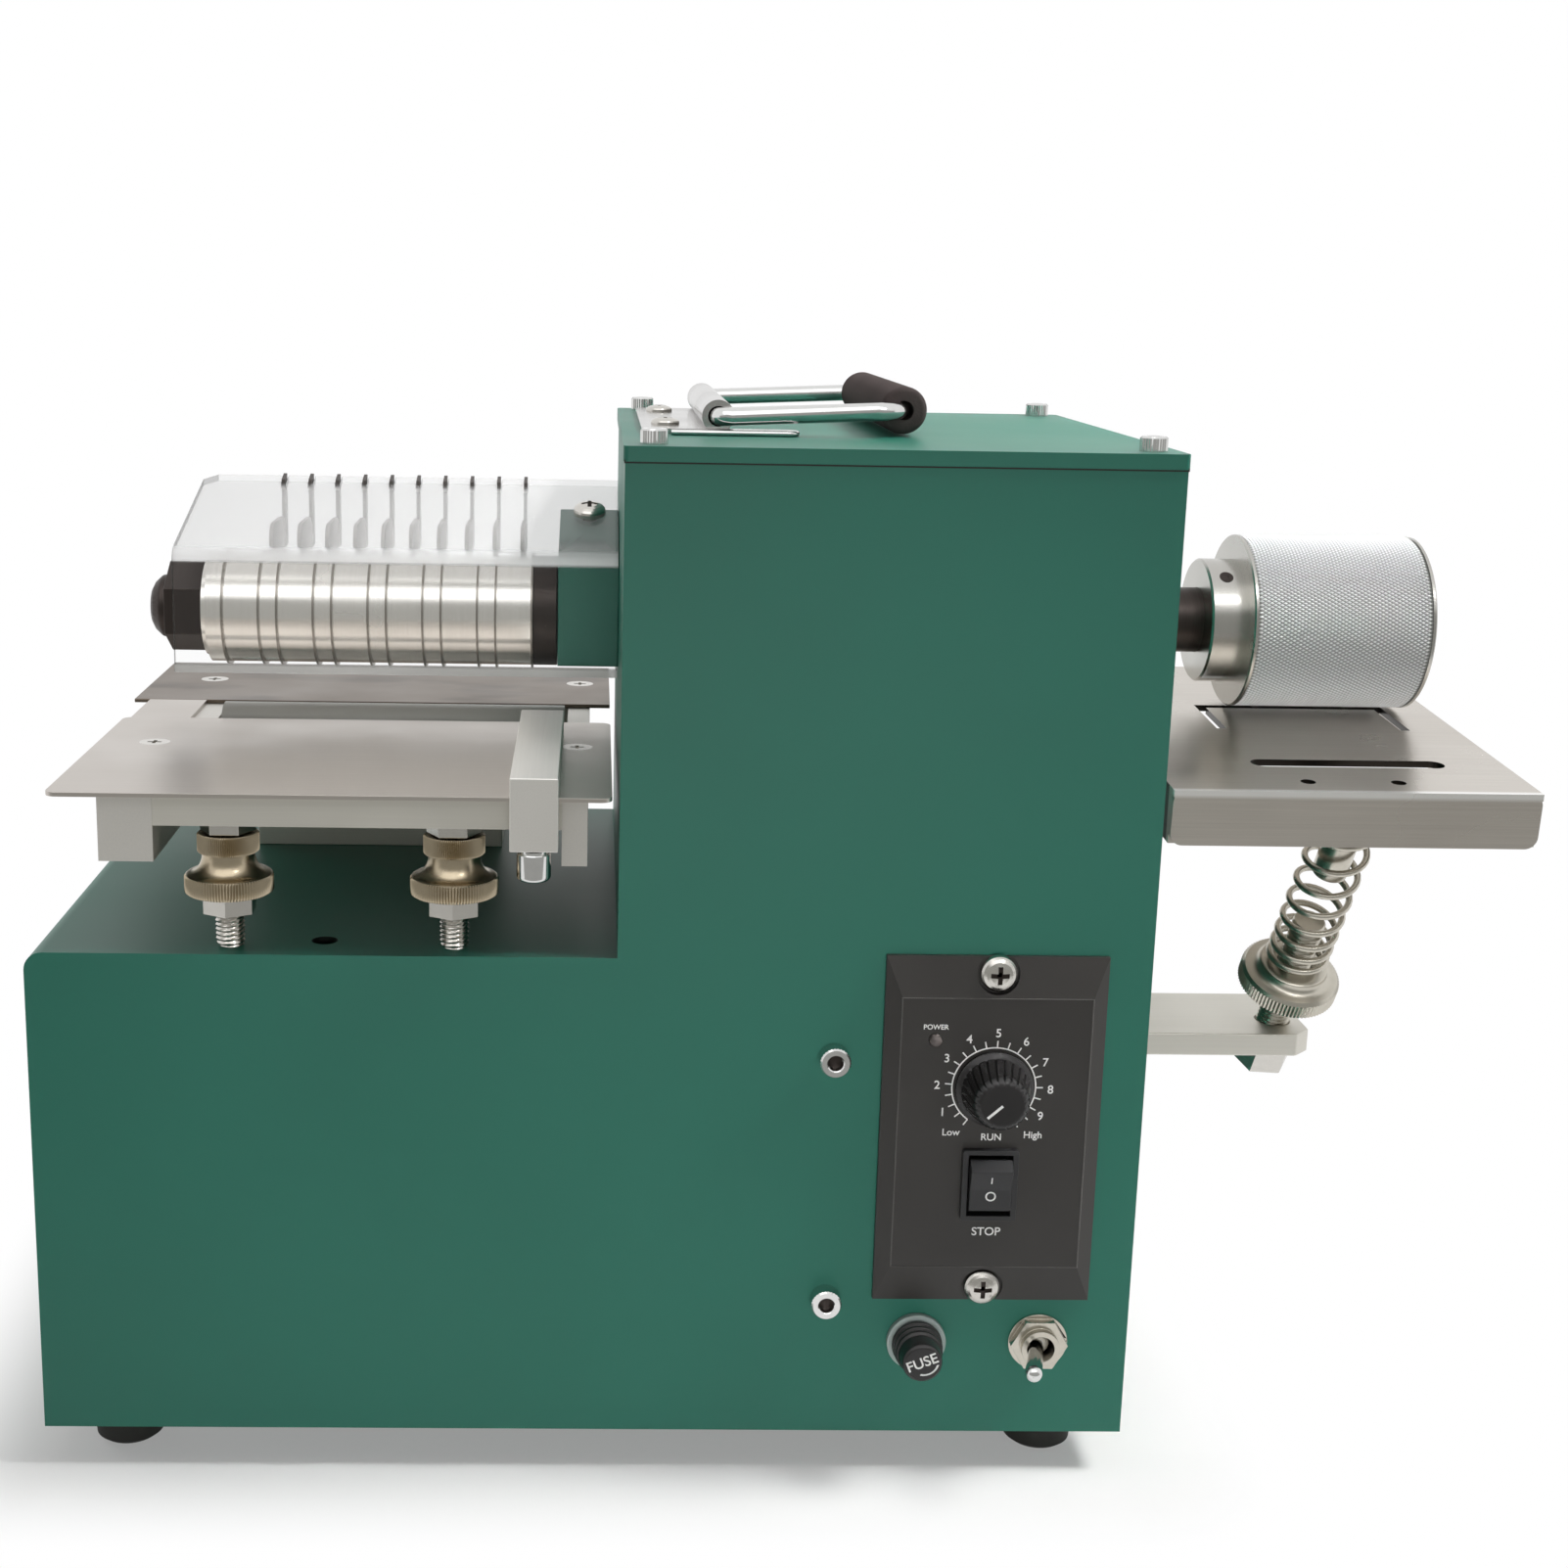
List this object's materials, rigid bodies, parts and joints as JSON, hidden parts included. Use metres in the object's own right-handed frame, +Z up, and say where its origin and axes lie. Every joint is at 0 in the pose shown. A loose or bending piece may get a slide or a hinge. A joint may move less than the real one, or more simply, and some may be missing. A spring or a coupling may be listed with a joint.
{
  "type": "leather strap cutting machine",
  "caption": "Bench machine with a stepped housing, a motor-driven shaft with a blade drum over a lifting roller table, and a knurled wheel over a sprung table.",
  "frame": {"origin": "on the bench, under the middle of the housing's footprint", "axes": "+X right towards the knurled wheel, +Y to the back, +Z up; the controls face -Y"},
  "size_m": [0.4151, 0.2103, 0.3003],
  "materials": {
    "green_paint": "semi-gloss powder coat",
    "bright_steel": "turned and plated",
    "plain_steel": "rolled sheet",
    "dark_steel": "blackened",
    "brown_steel": "oiled plate",
    "nickel": "warm plated",
    "aluminium": "milled",
    "bronze": "sintered",
    "black_plastic": "moulded",
    "rubber": "moulded",
    "motor_paint": "satin",
    "clear_plastic": "clear acrylic",
    "lamp_lens": "frosted"
  },
  "bodies": {
    "frame": {"housing": "green_paint", "rear_panel": "green_paint", "lid": "green_paint", "socket_screws": "bright_steel", "housing_screws": "bright_steel", "rubber_feet": "rubber", "motor_bracket": "plain_steel", "gear_motor": "motor_paint", "drive_belt": "rubber", "left_bush": "bronze", "right_bush": "bronze", "bearing_block": "green_paint", "blade_guard": "clear_plastic", "stripper_comb": "plain_steel", "pan_screws": "bright_steel", "guide_block": "aluminium", "guide_posts": "bright_steel", "table_hinge_pin": "bright_steel", "spring_arm": "aluminium", "spring_stud": "nickel", "stud_nut": "bright_steel", "table_spring": "nickel", "control_panel": "black_plastic", "controller_box": "black_plastic", "power_lamp": "lamp_lens", "rocker_frame": "black_plastic", "fuse_holder": "black_plastic", "toggle_base": "bright_steel", "handle_plate": "bright_steel", "cable_gland": "black_plastic"},
    "cutter_shaft": {"main_shaft": "dark_steel", "shaft_pulley": "plain_steel", "spacer_rings": "bright_steel", "cutter_blades": "plain_steel", "clamp_nut": "dark_steel", "clamp_washer": "bright_steel", "end_cap": "dark_steel", "drum_collar": "dark_steel", "knurled_wheel": "bright_steel"},
    "motor_output": {"motor_pulley": "plain_steel"},
    "lift_table": {"table_arms": "aluminium", "table_bars": "aluminium", "front_plate": "plain_steel", "rear_plate": "brown_steel", "table_screws": "bright_steel", "jack_nuts": "bright_steel"},
    "roller": {"pressure_roller": "bright_steel"},
    "strap_guide": {"edge_guide": "aluminium", "edge_guide_screw": "bright_steel"},
    "jack_left": {"left_jack": "bright_steel"},
    "jack_right": {"right_jack": "bright_steel"},
    "sprung_table": {"spring_table": "plain_steel", "table_stud": "nickel"},
    "tension_nut": {"spring_nut": "nickel"},
    "speed_dial": {"speed_knob": "black_plastic"},
    "run_rocker": {"rocker": "black_plastic"},
    "mains_lever": {"toggle_lever": "bright_steel"},
    "fuse_carrier": {"fuse_cap": "black_plastic"},
    "carry_handle": {"handle_bail": "bright_steel", "handle_grip": "black_plastic"}
  },
  "joints": [
    {"name": "shaft_spin", "type": "hinge", "parent": "frame", "child": "cutter_shaft", "pos_m": [0, 0.0255, 0.2275], "axis": [1, 0, 0], "continuous": true},
    {"name": "motor_spin", "type": "hinge", "parent": "frame", "child": "motor_output", "pos_m": [0, 0.0255, 0.092], "axis": [1, 0, 0], "continuous": true},
    {"name": "left_jack_turn", "type": "hinge", "parent": "frame", "child": "jack_left", "pos_m": [-0.0975, -0.0728, 0.1505], "axis": [0, 0, 1], "range_deg": [-2521, 0]},
    {"name": "right_jack_turn", "type": "hinge", "parent": "frame", "child": "jack_right", "pos_m": [-0.0371, -0.0728, 0.1505], "axis": [0, 0, 1], "range_deg": [-2521, 0]},
    {"name": "table_lift", "type": "slide", "parent": "frame", "child": "lift_table", "axis": [0, 0, 1], "range_m": [0, 0.00875]},
    {"name": "roller_spin", "type": "hinge", "parent": "lift_table", "child": "roller", "pos_m": [0, 0.0255, 0.18655], "axis": [1, 0, 0], "continuous": true},
    {"name": "guide_slide", "type": "slide", "parent": "lift_table", "child": "strap_guide", "axis": [1, 0, 0], "range_m": [-0.093, 0]},
    {"name": "table_press", "type": "hinge", "parent": "frame", "child": "sprung_table", "pos_m": [0.1595, 0.0675, 0.1973], "axis": [1, 0, 0], "range_deg": [0, 5], "stiffness_Nm_per_rad": 25, "springref_deg": -5.16, "deforming": ["table_spring"]},
    {"name": "spring_nut_turn", "type": "hinge", "parent": "frame", "child": "tension_nut", "pos_m": [0.2116, -0.0025, 0.107], "axis": [0.0462, -0.4695, 0.8817], "range_deg": [-360, 360]},
    {"name": "speed_turn", "type": "hinge", "parent": "frame", "child": "speed_dial", "pos_m": [0.109, -0.0825, 0.1164], "axis": [0, 1, 0], "range_deg": [0, 290]},
    {"name": "rocker_tip", "type": "hinge", "parent": "frame", "child": "run_rocker", "pos_m": [0.109, -0.0875, 0.08875], "axis": [-1, 0, 0], "range_deg": [0, 16]},
    {"name": "mains_flip", "type": "hinge", "parent": "frame", "child": "mains_lever", "pos_m": [0.1259, -0.0825, 0.04], "axis": [0, 0, 1], "range_deg": [0, 28]},
    {"name": "fuse_turn", "type": "hinge", "parent": "frame", "child": "fuse_carrier", "pos_m": [0.0918, -0.0825, 0.04], "axis": [0, -1, 0], "range_deg": [0, 90]},
    {"name": "handle_fold", "type": "hinge", "parent": "frame", "child": "carry_handle", "pos_m": [0.033, 0.0115, 0.2915], "axis": [0, -1, 0], "range_deg": [0, 88]}
  ],
  "couplings": [
    {"joint": "motor_spin", "follows": "shaft_spin", "ratio": 1.5},
    {"joint": "left_jack_turn", "follows": "table_lift", "rad_per_m": -5026.5},
    {"joint": "right_jack_turn", "follows": "table_lift", "rad_per_m": -5026.5}
  ]
}
